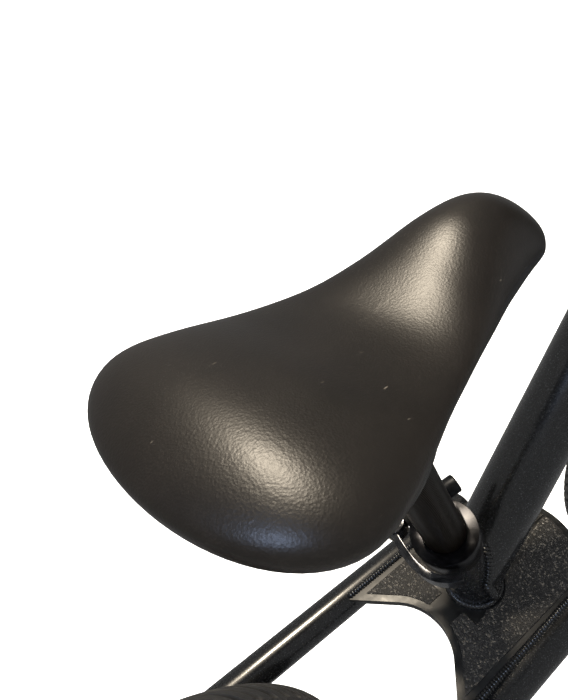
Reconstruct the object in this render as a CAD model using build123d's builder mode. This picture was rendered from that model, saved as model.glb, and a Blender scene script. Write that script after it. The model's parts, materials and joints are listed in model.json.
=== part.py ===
from build123d import *

import os
from math import atan2, cos, hypot, radians, sin

# A small BMX-style bike that the rider pushes along by foot: a single main tube, a short seat tube with a
# quick-release collar, and a gripped foot plate between two straight side rails that carry the rear wheel.
# Millimetres. The origin is on the ground midway between the axles, +X is forward, +Y is left, +Z is up.

os.makedirs("parts", exist_ok=True)

# ---------------------------------------------------------------- driving dimensions
# Layout
wheelbase = 564.0
wheel_radius = 155.0
plate_rise = 30.0  # top of the foot plate above the axles
seat_foot_x = -5.0  # where the seat tube's axis crosses the top of the plate
seat_tube_angle = 72.5
main_tube_angle = 48.5
main_tube_setback = 21.3  # main tube's axis behind the seat tube's foot, on the plate's top
head_angle = 70.0
fork_offset = 15.0

# Running and sliding fits
turning_fit = 0.05  # radial, shafts in bearings and the post in its tube
axial_gap = 0.3  # between faces that turn past each other

# Frame
main_tube_radius = 20.0
main_tube_wall = 1.6
seat_tube_radius = 15.9
seat_tube_above = 84.0
seat_tube_below = 45.0
head_tube_radius = 21.5
head_tube_length = 116.0
head_tube_below_joint = 60.0  # keeps the fork's crown under the main tube when it turns
head_tube_bore = 16.5
rail_radius = 11.1
rail_wall = 1.6
rail_drop = 10.0  # rail's centre below the plate's top
rail_centre_y = 53.4  # at the seat tube's foot
rail_spread = 0.019  # outward run per unit length towards the rear
rail_front_reach = 52.0  # closed front end ahead of the seat tube's foot
rail_end_setback = 14.0  # rear ends ahead of the axle, clear of its nuts
rear_spacing = 110.0
dropout_thickness = 5.0
dropout_radius = 15.0
weld_size = 3.0

# Foot plate
plate_thickness = 4.5
plate_front_reach = 83.0
plate_notch_depth = 38.0  # apex of the rear notch behind the seat tube's foot
plate_notch_radius = 34.0
tape_thickness = 0.8
tape_margin = 5.0
tape_split = 9.0  # tape stays this far to each side of the middle behind the seat tube
tape_gap = 0.8

# Seat post and saddle
post_radius = 12.7
post_wall = 1.8
post_insertion = 80.0
saddle_height = 246.5  # underside of the saddle's base above the plate, along the post
saddle_tilt = -2.2
saddle_turn = 6.7  # clamped with the nose a little to the left
saddle_length = 219.0
saddle_setback = 94.0  # rear end of the saddle behind the post's top
saddle_half_width = 64.0
nose_half_width = 24.0
waist_half_width = 44.0
widest_setback = 40.0  # widest place and waist, ahead of the saddle's rear end
waist_setback = 110.0
# Height of the pad's middle above its base, at shares of the saddle's length from the rear; it starts and ends
# outside the pad.
pad_crown = (
    (-0.1, 24.0), (0.05, 33.0), (0.2, 32.0), (0.35, 23.5), (0.5, 18.5),
    (0.6, 24.0), (0.7, 34.0), (0.8, 42.5), (0.9, 45.0), (1.1, 38.0),
)
pad_rounding = 8.0
base_thickness = 4.0
base_margin = 9.0
post_head_length = 62.0
post_head_width = 34.0
post_head_thickness = 4.0
saddle_screw_spacing_x = 44.0
saddle_screw_spacing_y = 20.0
screw_radius = 2.5
screw_head_radius = 4.25
screw_head_height = 3.0

# Quick-release collar
collar_height = 15.0
collar_wall = 4.2
collar_lip = 2.0
collar_drop = 11.0  # collar's lower edge below the seat tube's top
clamp_yaw = -15.0
clamp_reach = 24.5  # skewer's axis from the post's axis
clamp_slot = 3.0
ear_thickness = 8.5
ear_radius = 7.0
skewer_radius = 2.5
washer_thickness = 4.0
washer_radius = 6.5
cam_radius = 8.0
cam_height = 12.0
cam_slot = 5.8
barrel_radius = 3.4
clamp_nut_length = 15.0
clamp_nut_radius = 6.0
lever_radius = 25.5  # centreline of the lever's arm about the post's axis
lever_thickness = 4.6
lever_height = 9.0
lever_tip_angle = 256.0

# Fork and headset
steerer_radius = 14.3
steerer_wall = 2.2
bearing_radius = 19.0
bearing_height = 7.0
race_height = 2.5
race_radius = 18.5
crown_height = 18.0
crown_width = 32.0
leg_radius = 11.1
leg_wall = 1.6
front_spacing = 100.0
fork_dropout_thickness = 5.0
cover_height = 6.0
spacer_height = 5.0
cap_height = 4.0
cap_radius = 17.0
cap_bolt_radius = 3.0
cap_bolt_length = 30.0
star_nut_depth = 16.0
star_nut_height = 9.0

# Stem, handlebar and grips
stem_height = 38.0
stem_clamp_radius = 19.0
stem_reach = 40.0
stem_block_width = 44.0
stem_block_height = 38.0
stem_block_depth = 13.0
stem_split = 1.5
stem_bolt_radius = 2.5
stem_bolt_head_radius = 4.25
stem_bolt_head_height = 5.0
stem_bolt_length = 20.0
stem_bolt_spacing_y = 30.0
stem_bolt_spacing_z = 30.5
bar_radius = 11.1
bar_wall = 1.8
bar_half_width = 214.0
bar_rise = 112.0
bar_flat_half = 45.0
bar_upper_half = 95.0
bar_backsweep = 16.0
bar_bend_radius = 34.0
crossbar_radius = 8.0
crossbar_wall = 1.5
crossbar_rise = 68.0
grip_length = 95.0
grip_radius = 15.0
grip_end_wall = 4.0
grip_flange_radius = 23.0
grip_flange_thickness = 4.0

# Wheels
tyre_half_width = 28.0
tyre_wall = 4.0
inner_tube_wall = 1.2
inner_tube_gap = 0.3
rim_seat_radius = 101.5
rim_half_width = 15.0
rim_wall = 2.0
rim_flange_height = 7.0
rim_well_depth = 6.0
hub_barrel_radius = 13.0
hub_flange_radius = 23.0
hub_flange_thickness = 3.0
hub_flange_half_spacing = 28.0
hub_overhang = 6.0
spoke_circle_radius = 19.0
spoke_radius = 1.0
spokes_per_side = 10
nipple_radius = 2.2
nipple_length = 11.0
valve_radius = 3.0
valve_length = 34.0
axle_radius = 5.0
axle_stub = 12.0
axle_stub_radius = 4.5  # turned down past the nuts
axle_chamfer = 0.8
axle_nut_height = 9.0
axle_nut_across_flats = 15.0
wheel_bearing_radius = 11.0
wheel_bearing_width = 7.0
axle_spacer_radius = 7.5

# ---------------------------------------------------------------- axes and planes
rear_axle_x = -wheelbase / 2
front_axle_x = wheelbase / 2
plate_top = wheel_radius + plate_rise
side = Vector(0, 1, 0)

seat_up = Vector(-cos(radians(seat_tube_angle)), 0, sin(radians(seat_tube_angle)))
seat_forward = Vector(sin(radians(seat_tube_angle)), 0, cos(radians(seat_tube_angle)))
seat_foot = Vector(seat_foot_x, 0, plate_top)

main_up = Vector(cos(radians(main_tube_angle)), 0, sin(radians(main_tube_angle)))
main_foot = seat_foot - Vector(main_tube_setback, 0, 0)

steer_up = Vector(-cos(radians(head_angle)), 0, sin(radians(head_angle)))
steer_forward = Vector(sin(radians(head_angle)), 0, cos(radians(head_angle)))
steer_foot = Vector(front_axle_x, 0, wheel_radius) - steer_forward * fork_offset


def cross_xz(first, second):
    """Cross product of two directions in the bike's middle plane."""
    return first.X * second.Z - first.Z * second.X


# Distance up the steering axis at which the main tube's axis meets it
joint_up = cross_xz(main_foot - steer_foot, main_up) / cross_xz(steer_up, main_up)
main_length = (steer_foot + steer_up * joint_up - main_foot).length


def seat_plane(height):
    """Plane across the seat tube, at a height along it from the top of the foot plate."""
    return Plane(origin=seat_foot + seat_up * height, x_dir=seat_forward, z_dir=seat_up)


def steer_plane(height):
    """Plane across the steering axis, at a height along it from beside the front axle."""
    return Plane(origin=steer_foot + steer_up * height, x_dir=steer_forward, z_dir=steer_up)


def round_bar(start, end, radius):
    """A plain round bar between two points."""
    run = end - start
    with BuildPart() as bar:
        with BuildSketch(Plane(origin=start, z_dir=run)):
            Circle(radius)
        extrude(amount=run.length)
    return bar.part


def export_piece(piece, name):
    """Label a finished piece and write it."""
    piece.label = name
    export_step(piece, f"parts/{name}.step")


# ---------------------------------------------------------------- frame tubes
head_bottom = joint_up - head_tube_below_joint
head_top = head_bottom + head_tube_length
seat_bore_radius = post_radius + turning_fit

seat_core = round_bar(seat_foot - seat_up * seat_tube_below, seat_foot + seat_up * seat_tube_above, seat_tube_radius)
head_core = round_bar(steer_foot + steer_up * head_bottom, steer_foot + steer_up * head_top, head_tube_radius)
main_core = round_bar(main_foot, main_foot + main_up * main_length, main_tube_radius)

with BuildPart() as head_tube:
    with BuildSketch(steer_plane(head_bottom)):
        Circle(head_tube_radius)
        Circle(head_tube_bore, mode=Mode.SUBTRACT)
    extrude(amount=head_tube_length)
    with BuildSketch(steer_plane(head_bottom)):
        Circle(bearing_radius)
    extrude(amount=bearing_height, mode=Mode.SUBTRACT)
    with BuildSketch(steer_plane(head_top)):
        Circle(bearing_radius)
    extrude(amount=-bearing_height, mode=Mode.SUBTRACT)
export_piece(head_tube.part, "head_tube")

# The seat tube passes through the plate and is open below it, so that the post can slide down.
with BuildPart() as seat_tube:
    with BuildSketch(seat_plane(-seat_tube_below)):
        Circle(seat_tube_radius)
        Circle(seat_bore_radius, mode=Mode.SUBTRACT)
    extrude(amount=seat_tube_below + seat_tube_above)
export_piece(seat_tube.part, "seat_tube")

# The main tube is mitred round the seat tube and the head tube, and trimmed level with the plate.
with BuildPart() as main_tube:
    with BuildSketch(Plane(origin=main_foot, z_dir=main_up)):
        Circle(main_tube_radius)
        Circle(main_tube_radius - main_tube_wall, mode=Mode.SUBTRACT)
    extrude(amount=main_length)
    add(seat_core, mode=Mode.SUBTRACT)
    add(head_core, mode=Mode.SUBTRACT)
    split(bisect_by=Plane(origin=seat_foot, z_dir=seat_forward), keep=Keep.TOP)
    split(bisect_by=Plane(origin=seat_foot, z_dir=(0, 0, 1)), keep=Keep.TOP)
export_piece(main_tube.part, "main_tube")


# ---------------------------------------------------------------- rear dropouts and side rails
def rail_point(hand, behind):
    """Point on a side rail's centreline, a distance behind the seat tube's foot."""
    offset = rail_centre_y + rail_spread * behind
    return seat_foot + Vector(-behind, hand * offset, -rail_drop)


rail_rear_reach = seat_foot_x - rear_axle_x - rail_end_setback
dropout_centre_y = (rear_spacing + dropout_thickness) / 2
dropout_tongue = 26.0  # how far the dropout runs forward inside the rail
dropout_depth = plate_rise - rail_drop  # rail's centre above the axle

with BuildPart() as rear_dropouts:
    for hand in (-1, 1):
        with BuildSketch(Plane(origin=(rear_axle_x, hand * dropout_centre_y, wheel_radius), z_dir=side)):
            Circle(dropout_radius)
            with BuildLine():
                Polyline(
                    (-dropout_radius, 0),
                    (-dropout_radius, dropout_depth + rail_radius * 0.4),
                    (dropout_tongue + dropout_radius, dropout_depth + rail_radius * 0.4),
                    (dropout_tongue + dropout_radius, dropout_depth - rail_radius * 0.4),
                    (dropout_radius, 0),
                    close=True,
                )
            make_face()
            Circle(axle_radius, mode=Mode.SUBTRACT)
        extrude(amount=dropout_thickness / 2, both=True)
export_piece(rear_dropouts.part, "rear_dropouts")

for hand, rail_name in ((1, "rail_left"), (-1, "rail_right")):
    rail_front = rail_point(hand, -rail_front_reach)
    rail_rear = rail_point(hand, rail_rear_reach)
    rail_run = rail_rear - rail_front
    with BuildPart() as rail:
        with BuildSketch(Plane(origin=rail_front, z_dir=rail_run)):
            Circle(rail_radius)
        extrude(amount=rail_run.length)
        fillet(rail.edges().filter_by(GeomType.CIRCLE).sort_by(Axis.X)[-1], radius=rail_radius * 0.4)
        with BuildSketch(Plane(origin=rail_front + rail_run.normalized() * 4 * rail_wall, z_dir=rail_run)):
            Circle(rail_radius - rail_wall)
        extrude(amount=rail_run.length - 8 * rail_wall, mode=Mode.SUBTRACT)
        add(rear_dropouts.part, mode=Mode.SUBTRACT)
    export_piece(rail.part, rail_name)

# ---------------------------------------------------------------- foot plate and grip tape
rail_cores = [
    round_bar(rail_point(hand, -rail_front_reach), rail_point(hand, rail_rear_reach), rail_radius)
    for hand in (-1, 1)
]
nose_radius = rail_centre_y - rail_radius * 0.5
notch_centre_x = -plate_notch_depth - plate_notch_radius
notch_shoulder = plate_notch_radius * sin(radians(45))
plate_plane = Plane(origin=seat_foot, x_dir=(1, 0, 0), z_dir=(0, 0, 1))


# Outline of the plate: a round nose, straight sides along the rails and a notch for the rear wheel
nose_x = plate_front_reach - nose_radius
shoulder_x = notch_centre_x + notch_shoulder
corner_x = shoulder_x - (nose_radius - notch_shoulder)
with BuildSketch(plate_plane) as plate_outline:
    with BuildLine():
        JernArc((nose_x, -nose_radius), (1, 0), nose_radius, 180)
        Polyline((nose_x, nose_radius), (corner_x, nose_radius), (shoulder_x, notch_shoulder))
        ThreePointArc(
            (shoulder_x, notch_shoulder), (-plate_notch_depth, 0), (shoulder_x, -notch_shoulder)
        )
        Polyline((shoulder_x, -notch_shoulder), (corner_x, -nose_radius), (nose_x, -nose_radius))
    make_face()

with BuildPart() as foot_plate:
    add(plate_outline.sketch)
    extrude(amount=-plate_thickness)
    for rail_core in rail_cores:
        add(rail_core, mode=Mode.SUBTRACT)
    add(seat_core, mode=Mode.SUBTRACT)
export_piece(foot_plate.part, "foot_plate")

# Each half of the tape follows the plate's edge, goes round the seat tube's weld and stops short of the middle.
weld_clearance = seat_tube_radius / sin(radians(seat_tube_angle)) + weld_size + tape_gap
with BuildPart() as grip_tape:
    with BuildSketch(plate_plane):
        add(plate_outline.sketch.moved(plate_plane.location.inverse()))
        offset(amount=-tape_margin)
        Circle(weld_clearance, mode=Mode.SUBTRACT)
        with Locations((corner_x / 2, 0)):
            Rectangle(-corner_x, 2 * tape_split, mode=Mode.SUBTRACT)
        with Locations((plate_front_reach / 2, 0)):
            Rectangle(plate_front_reach, 2 * tape_gap, mode=Mode.SUBTRACT)
    extrude(amount=tape_thickness)
    add(main_core, mode=Mode.SUBTRACT)
export_piece(grip_tape.part, "grip_tape")

# ---------------------------------------------------------------- welds
# Each ring fills the corner between two tubes: where both, grown by the weld's size, meet outside them.
seat_grown = round_bar(
    seat_foot - seat_up * seat_tube_below, seat_foot + seat_up * seat_tube_above, seat_tube_radius + weld_size
)
head_grown = round_bar(
    steer_foot + steer_up * head_bottom, steer_foot + steer_up * head_top, head_tube_radius + weld_size
)
main_grown = round_bar(main_foot, main_foot + main_up * main_length, main_tube_radius + weld_size)
above_plate = seat_foot + Vector(0, 0, weld_size)

with BuildPart() as seat_weld:
    add(seat_grown)
    add(main_grown, mode=Mode.INTERSECT)
    split(bisect_by=Plane(origin=seat_foot, z_dir=seat_forward), keep=Keep.TOP)
    add(main_core, mode=Mode.SUBTRACT)
    add(seat_core, mode=Mode.SUBTRACT)
    split(bisect_by=Plane(origin=above_plate, z_dir=(0, 0, 1)), keep=Keep.TOP)

with BuildPart() as head_weld:
    add(head_grown)
    add(main_grown, mode=Mode.INTERSECT)
    add(main_core, mode=Mode.SUBTRACT)
    add(head_core, mode=Mode.SUBTRACT)

with BuildPart() as foot_weld:
    add(seat_grown)
    split(bisect_by=Plane(origin=seat_foot, z_dir=(0, 0, 1)), keep=Keep.TOP)
    split(bisect_by=Plane(origin=above_plate, z_dir=(0, 0, 1)), keep=Keep.BOTTOM)
    add(seat_core, mode=Mode.SUBTRACT)
    add(main_core, mode=Mode.SUBTRACT)

bead_rise = (rail_radius**2 - rail_drop**2) ** 0.5  # rail's half width at the height of the plate's top
bead_bars = []
for hand in (-1, 1):
    bead_rear = rail_point(hand, -corner_x) + Vector(0, -hand * bead_rise, rail_drop)
    bead_front = rail_point(hand, -nose_x) + Vector(0, -hand * bead_rise, rail_drop)
    bead_bars.append(round_bar(bead_rear, bead_front, weld_size))

with BuildPart() as frame_welds:
    add(seat_weld.part)
    add(head_weld.part)
    add(foot_weld.part)
    for bead_bar in bead_bars:
        add(bead_bar)
    for rail_core in rail_cores:
        add(rail_core, mode=Mode.SUBTRACT)
    add(foot_plate.part, mode=Mode.SUBTRACT)
export_piece(frame_welds.part, "frame_welds")

# ---------------------------------------------------------------- seat collar with its quick release
collar_bottom = seat_tube_above - collar_drop
collar_middle = collar_bottom + collar_height / 2
skewer_dir = seat_forward * cos(radians(clamp_yaw)) + side * sin(radians(clamp_yaw))


def clamp_plane(height):
    """Plane across the seat tube with its X along the skewer, towards the nut."""
    return Plane(origin=seat_foot + seat_up * height, x_dir=skewer_dir, z_dir=seat_up)


def clamp_point(along, out, height=collar_middle):
    """Point at a distance along the skewer, out from the post's axis and up the seat tube."""
    plane = clamp_plane(height)
    return plane.origin + plane.x_dir * along + plane.y_dir * out


skewer_plane = Plane(origin=clamp_point(0, clamp_reach), x_dir=seat_up, z_dir=clamp_plane(0).x_dir)
ear_face = clamp_slot / 2 + ear_thickness
barrel_along = -(ear_face + washer_thickness + axial_gap + cam_radius)
skewer_front = ear_face + clamp_nut_length - 2.0

with BuildPart() as seat_collar:
    with BuildSketch(clamp_plane(collar_bottom)):
        Circle(seat_tube_radius + collar_wall)
    extrude(amount=collar_height)
    with BuildSketch(skewer_plane):
        Circle(ear_radius)
        with Locations((0, clamp_reach / 2)):
            Rectangle(2 * ear_radius, clamp_reach)
    extrude(amount=ear_face, both=True)
    with BuildSketch(clamp_plane(collar_bottom)):
        Circle(seat_tube_radius)
    extrude(amount=collar_drop, mode=Mode.SUBTRACT)
    with BuildSketch(clamp_plane(collar_bottom)):
        Circle(post_radius + axial_gap)
    extrude(amount=collar_height, mode=Mode.SUBTRACT)
    with BuildSketch(clamp_plane(collar_bottom - ear_radius)):
        with Locations((0, clamp_reach)):
            Rectangle(clamp_slot, 2 * clamp_reach)
    extrude(amount=collar_height + 2 * ear_radius, mode=Mode.SUBTRACT)
    with BuildSketch(skewer_plane):
        Circle(skewer_radius)
    extrude(amount=ear_face, both=True, mode=Mode.SUBTRACT)
export_piece(seat_collar.part, "seat_collar")

with BuildPart() as clamp_barrel:
    with BuildSketch(clamp_plane(collar_middle)):
        with Locations((barrel_along, clamp_reach)):
            Circle(barrel_radius)
    extrude(amount=cam_height / 2, both=True)
export_piece(clamp_barrel.part, "clamp_barrel")

with BuildPart() as clamp_skewer:
    with BuildSketch(skewer_plane):
        Circle(skewer_radius)
    extrude(amount=skewer_front)
    extrude(to_extrude=clamp_skewer.faces().sort_by(Axis.X)[0], amount=-barrel_along)
    add(clamp_barrel.part, mode=Mode.SUBTRACT)
export_piece(clamp_skewer.part, "clamp_skewer")

with BuildPart() as clamp_nut:
    with BuildSketch(skewer_plane.offset(ear_face)):
        Circle(clamp_nut_radius)
    extrude(amount=clamp_nut_length)
    fillet(clamp_nut.edges().filter_by(GeomType.CIRCLE).sort_by(Axis.X)[-1], radius=1.2)
    add(clamp_skewer.part, mode=Mode.SUBTRACT)
export_piece(clamp_nut.part, "clamp_nut")

with BuildPart() as cam_washer:
    with BuildSketch(skewer_plane.offset(-ear_face)):
        Circle(washer_radius)
        Circle(skewer_radius, mode=Mode.SUBTRACT)
    extrude(amount=-washer_thickness - cam_radius * 0.1)
    with BuildSketch(clamp_plane(collar_middle - washer_radius)):
        with Locations((barrel_along, clamp_reach)):
            Circle(cam_radius + axial_gap)
    extrude(amount=2 * washer_radius, mode=Mode.SUBTRACT)
export_piece(cam_washer.part, "cam_washer")

# The lever turns on the barrel; its arm is bent round the back of the collar. Its head is slotted so that the
# skewer stays clear while the lever opens.
arm_start = atan2(clamp_reach, barrel_along)
arm_end = radians(lever_tip_angle)
arm_middle = (arm_start + arm_end) / 2


def arm_point(angle, radius):
    """Point of the lever's arm in the clamp's plane, at an angle and a radius about the post's axis."""
    return (radius * cos(angle), radius * sin(angle))


inner_arm = lever_radius - lever_thickness / 2
outer_arm = lever_radius + lever_thickness / 2
root_radius = hypot(barrel_along, clamp_reach)
with BuildPart() as clamp_lever:
    with BuildSketch(clamp_plane(collar_middle)):
        with Locations((barrel_along, clamp_reach)):
            Circle(cam_radius)
    extrude(amount=cam_height / 2, both=True)
    with BuildSketch(clamp_plane(collar_middle)):
        with BuildLine():
            Spline(
                arm_point(arm_start, root_radius + lever_thickness / 2),
                arm_point(arm_start + radians(34), outer_arm + 1.0),
                arm_point(arm_middle + radians(14), outer_arm),
                arm_point(arm_end, outer_arm),
            )
            Line(arm_point(arm_end, outer_arm), arm_point(arm_end, inner_arm))
            Spline(
                arm_point(arm_end, inner_arm),
                arm_point(arm_middle + radians(14), inner_arm),
                arm_point(arm_start + radians(34), inner_arm + 1.0),
                arm_point(arm_start, root_radius),
            )
            Line(arm_point(arm_start, root_radius), arm_point(arm_start, root_radius + lever_thickness / 2))
        make_face()
    extrude(amount=lever_height / 2, both=True)
    with BuildSketch(clamp_plane(collar_middle)):
        with Locations((barrel_along, clamp_reach + cam_radius / 2 + 0.6)):
            Rectangle(3 * cam_radius, cam_radius + 2 * skewer_radius + 2.6)
    extrude(amount=cam_slot / 2, both=True, mode=Mode.SUBTRACT)
    with BuildSketch(clamp_plane(collar_middle)):
        with Locations((barrel_along, clamp_reach)):
            Circle(barrel_radius + turning_fit)
    extrude(amount=cam_height, both=True, mode=Mode.SUBTRACT)
export_piece(clamp_lever.part, "clamp_lever")

# ---------------------------------------------------------------- headset
crown_top = head_bottom - axial_gap - race_height
cover_bottom = head_top + axial_gap
spacer_bottom = cover_bottom + cover_height
stem_bottom = spacer_bottom + spacer_height
stem_top = stem_bottom + stem_height
steerer_length = stem_top - 3.0 - crown_top

with BuildPart() as headset_bearings:
    for bearing_bottom in (head_bottom, head_top - bearing_height):
        with BuildSketch(steer_plane(bearing_bottom)):
            Circle(bearing_radius)
            Circle(steerer_radius + turning_fit, mode=Mode.SUBTRACT)
        extrude(amount=bearing_height)
export_piece(headset_bearings.part, "headset_bearings")

with BuildPart() as crown_race:
    with BuildSketch(steer_plane(crown_top)):
        Circle(race_radius)
        Circle(steerer_radius, mode=Mode.SUBTRACT)
    extrude(amount=race_height)
export_piece(crown_race.part, "crown_race")

with BuildPart() as headset_cover:
    with BuildSketch(steer_plane(cover_bottom)):
        Circle(head_tube_radius)
    extrude(amount=cover_height, taper=20)
    with BuildSketch(steer_plane(cover_bottom)):
        Circle(steerer_radius)
    extrude(amount=cover_height, mode=Mode.SUBTRACT)
export_piece(headset_cover.part, "headset_cover")

with BuildPart() as headset_spacer:
    with BuildSketch(steer_plane(spacer_bottom)):
        Circle(cap_radius)
        Circle(steerer_radius, mode=Mode.SUBTRACT)
    extrude(amount=spacer_height)
export_piece(headset_spacer.part, "headset_spacer")

# ---------------------------------------------------------------- fork
crown_bottom = crown_top - crown_height
leg_y = (front_spacing + fork_dropout_thickness) / 2
leg_foot = fork_dropout_thickness + leg_radius  # legs end this far above the axle's level

with BuildPart() as fork_steerer:
    with BuildSketch(steer_plane(crown_top)):
        Circle(steerer_radius)
        Circle(steerer_radius - steerer_wall, mode=Mode.SUBTRACT)
    extrude(amount=steerer_length)
export_piece(fork_steerer.part, "fork_steerer")

with BuildPart() as fork_crown:
    with BuildSketch(steer_plane(crown_bottom)):
        SlotCenterToCenter(2 * leg_y, crown_width, rotation=90)
    extrude(amount=crown_height)
    fillet(fork_crown.faces().filter_by(steer_plane(0)).edges(), radius=3.0)
export_piece(fork_crown.part, "fork_crown")

with BuildPart() as fork_dropouts:
    for hand in (-1, 1):
        with BuildSketch(Plane(origin=steer_foot + side * hand * leg_y, x_dir=steer_forward, z_dir=-side)):
            with Locations((fork_offset, 0)):
                Circle(dropout_radius)
            Polygon(
                (-leg_radius * 0.6, leg_foot + 2 * leg_radius),
                (-leg_radius * 0.6, leg_foot),
                (fork_offset - dropout_radius, 0),
                (fork_offset + dropout_radius, 0),
                (leg_radius * 0.6, leg_foot + leg_radius),
                (leg_radius * 0.6, leg_foot + 2 * leg_radius),
                align=None,
            )
            with Locations((fork_offset, 0)):
                Circle(axle_radius, mode=Mode.SUBTRACT)
        extrude(amount=fork_dropout_thickness / 2, both=True)
export_piece(fork_dropouts.part, "fork_dropouts")

for hand, leg_name in ((1, "fork_leg_left"), (-1, "fork_leg_right")):
    leg_plane = steer_plane(crown_bottom)
    leg_plane.origin += side * hand * leg_y
    leg_run = crown_bottom - leg_foot
    with BuildPart() as fork_leg:
        with BuildSketch(leg_plane):
            Circle(leg_radius)
        extrude(amount=-leg_run)
        fillet(fork_leg.edges().filter_by(GeomType.CIRCLE).sort_by(Axis.Z)[0], radius=leg_radius * 0.5)
        with BuildSketch(leg_plane):
            Circle(leg_radius - leg_wall)
        extrude(amount=-(leg_run - 4 * leg_wall), mode=Mode.SUBTRACT)
        add(fork_dropouts.part, mode=Mode.SUBTRACT)
    export_piece(fork_leg.part, leg_name)

# ---------------------------------------------------------------- stem
stem_middle = stem_bottom + stem_height / 2
bar_centre = steer_foot + steer_up * stem_middle + steer_forward * stem_reach
bar_plane = Plane(origin=bar_centre, x_dir=side, z_dir=steer_forward)
bolt_pattern_y = stem_bolt_spacing_y / 2
bolt_pattern_z = stem_bolt_spacing_z / 2
pinch_y = stem_clamp_radius - 3.0
pinch_x = -stem_clamp_radius + 1.0

with BuildPart() as stem:
    with BuildSketch(steer_plane(stem_bottom)):
        Circle(stem_clamp_radius)
        with Locations((pinch_x, 0)):
            Rectangle(10.0, 2 * pinch_y)
        with Locations((stem_reach / 2 - stem_split / 2, 0)):
            Rectangle(stem_reach - stem_split, 2 * stem_clamp_radius - 6.0)
    extrude(amount=stem_height)
    with BuildSketch(bar_plane.offset(-stem_split / 2)):
        RectangleRounded(stem_block_width, stem_block_height, 4.0)
    extrude(amount=-stem_block_depth)
    with BuildSketch(steer_plane(stem_bottom)):
        Circle(steerer_radius)
        with Locations((-stem_clamp_radius, 0)):
            Rectangle(2 * (stem_clamp_radius - steerer_radius) + 10.0, stem_split)
    extrude(amount=stem_height, mode=Mode.SUBTRACT)
    with BuildSketch(Plane(origin=bar_centre, z_dir=side)):
        Circle(bar_radius)
    extrude(amount=stem_block_width, both=True, mode=Mode.SUBTRACT)

with BuildPart() as stem_faceplate:
    with BuildSketch(bar_plane.offset(stem_split / 2)):
        RectangleRounded(stem_block_width, stem_block_height, 4.0)
    extrude(amount=stem_block_depth)
    fillet(stem_faceplate.faces().sort_by(Axis.X)[-1].edges(), radius=2.5)
    with BuildSketch(Plane(origin=bar_centre, z_dir=side)):
        Circle(bar_radius)
    extrude(amount=stem_block_width, both=True, mode=Mode.SUBTRACT)

bolt_planes = []
for across in (-bolt_pattern_y, bolt_pattern_y):
    for rise in (-bolt_pattern_z, bolt_pattern_z):
        seat_point = bar_centre + side * across + steer_up * rise
        seat_point += steer_forward * (stem_block_depth + stem_split / 2)
        bolt_planes.append(Plane(origin=seat_point, z_dir=steer_forward))
for rise in (-stem_height / 4, stem_height / 4):
    seat_point = steer_foot + steer_up * (stem_middle + rise) + steer_forward * pinch_x
    bolt_planes.append(Plane(origin=seat_point + side * pinch_y, z_dir=side))

with BuildPart() as stem_bolts:
    for bolt_plane in bolt_planes:
        with BuildSketch(bolt_plane):
            Circle(stem_bolt_head_radius)
            RegularPolygon(stem_bolt_head_radius * 0.5, 6, mode=Mode.SUBTRACT)
        extrude(amount=stem_bolt_head_height)
        with BuildSketch(bolt_plane):
            Circle(stem_bolt_head_radius)
        extrude(amount=stem_bolt_head_height * 0.4)
        with BuildSketch(bolt_plane):
            Circle(stem_bolt_radius)
        extrude(amount=-stem_bolt_length)
export_piece(stem_bolts.part, "stem_bolts")

with BuildPart() as bored_stem:
    add(stem.part)
    add(stem_bolts.part, mode=Mode.SUBTRACT)
export_piece(bored_stem.part, "stem")

with BuildPart() as bored_faceplate:
    add(stem_faceplate.part)
    add(stem_bolts.part, mode=Mode.SUBTRACT)
export_piece(bored_faceplate.part, "stem_faceplate")

# The cap on the stem draws the steerer up through a nut wedged inside it.
with BuildPart() as cap_bolt:
    with BuildSketch(steer_plane(stem_top + cap_height - 2.0)):
        Circle(stem_bolt_head_radius + 0.5)
        RegularPolygon(stem_bolt_head_radius * 0.5, 6, mode=Mode.SUBTRACT)
    extrude(amount=4.0)
    with BuildSketch(steer_plane(stem_top + cap_height - 2.0)):
        Circle(cap_bolt_radius)
    extrude(amount=-cap_bolt_length)
    with BuildSketch(steer_plane(stem_top + cap_height - 2.0)):
        Circle(stem_bolt_head_radius + 0.5)
    extrude(amount=1.5)
export_piece(cap_bolt.part, "cap_bolt")

with BuildPart() as stem_cap:
    with BuildSketch(steer_plane(stem_top)):
        Circle(cap_radius)
    extrude(amount=cap_height)
    fillet(stem_cap.edges().filter_by(GeomType.CIRCLE).sort_by(Axis.Z)[-1], radius=1.5)
    add(cap_bolt.part, mode=Mode.SUBTRACT)
export_piece(stem_cap.part, "stem_cap")

with BuildPart() as star_nut:
    with BuildSketch(steer_plane(stem_top - star_nut_depth)):
        Circle(steerer_radius - steerer_wall)
        Circle(cap_bolt_radius, mode=Mode.SUBTRACT)
    extrude(amount=-star_nut_height)
export_piece(star_nut.part, "star_nut")

# ---------------------------------------------------------------- handlebar and grips
bar_points = [
    (-bar_half_width, bar_rise, -bar_backsweep),
    (-bar_upper_half, bar_rise, 0),
    (-bar_flat_half, 0, 0),
    (bar_flat_half, 0, 0),
    (bar_upper_half, bar_rise, 0),
    (bar_half_width, bar_rise, -bar_backsweep),
]
with BuildLine(bar_plane) as bar_path:
    FilletPolyline(*bar_points, radius=bar_bend_radius)
bar_end_plane = Plane(origin=bar_path.line @ 0, z_dir=bar_path.line % 0)

with BuildPart() as bar_core:
    with BuildSketch(bar_end_plane):
        Circle(bar_radius)
    sweep(path=bar_path.line)

with BuildPart() as handlebar:
    with BuildSketch(bar_end_plane):
        Circle(bar_radius)
        Circle(bar_radius - bar_wall, mode=Mode.SUBTRACT)
    sweep(path=bar_path.line)
export_piece(handlebar.part, "handlebar")

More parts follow.
